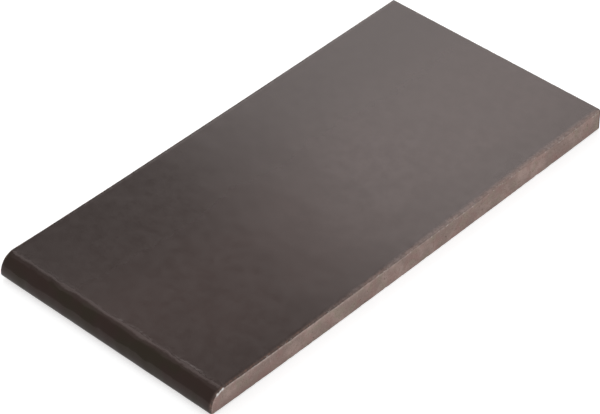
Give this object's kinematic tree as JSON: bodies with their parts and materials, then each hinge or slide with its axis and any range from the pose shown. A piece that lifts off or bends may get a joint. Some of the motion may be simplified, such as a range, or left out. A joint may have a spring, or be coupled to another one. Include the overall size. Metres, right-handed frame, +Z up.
{
  "type": "window sill tile",
  "caption": "Rectangular glazed clay window sill tile with a rounded front nose, bare clay edges and a flat keyed underside.",
  "frame": {"origin": "middle of the underside, on the plane the tile is bedded on", "axes": "+Y from the nose to the back edge along the sill depth, +X across the tile's width, +Z up out of the glazed top"},
  "size_m": [0.148, 0.3, 0.013],
  "materials": {
    "glazed_clay": "satin dark brown glaze over pinkish grey fired clay"
  },
  "bodies": {
    "root": {"sill_tile": "glazed_clay"}
  },
  "joints": []
}
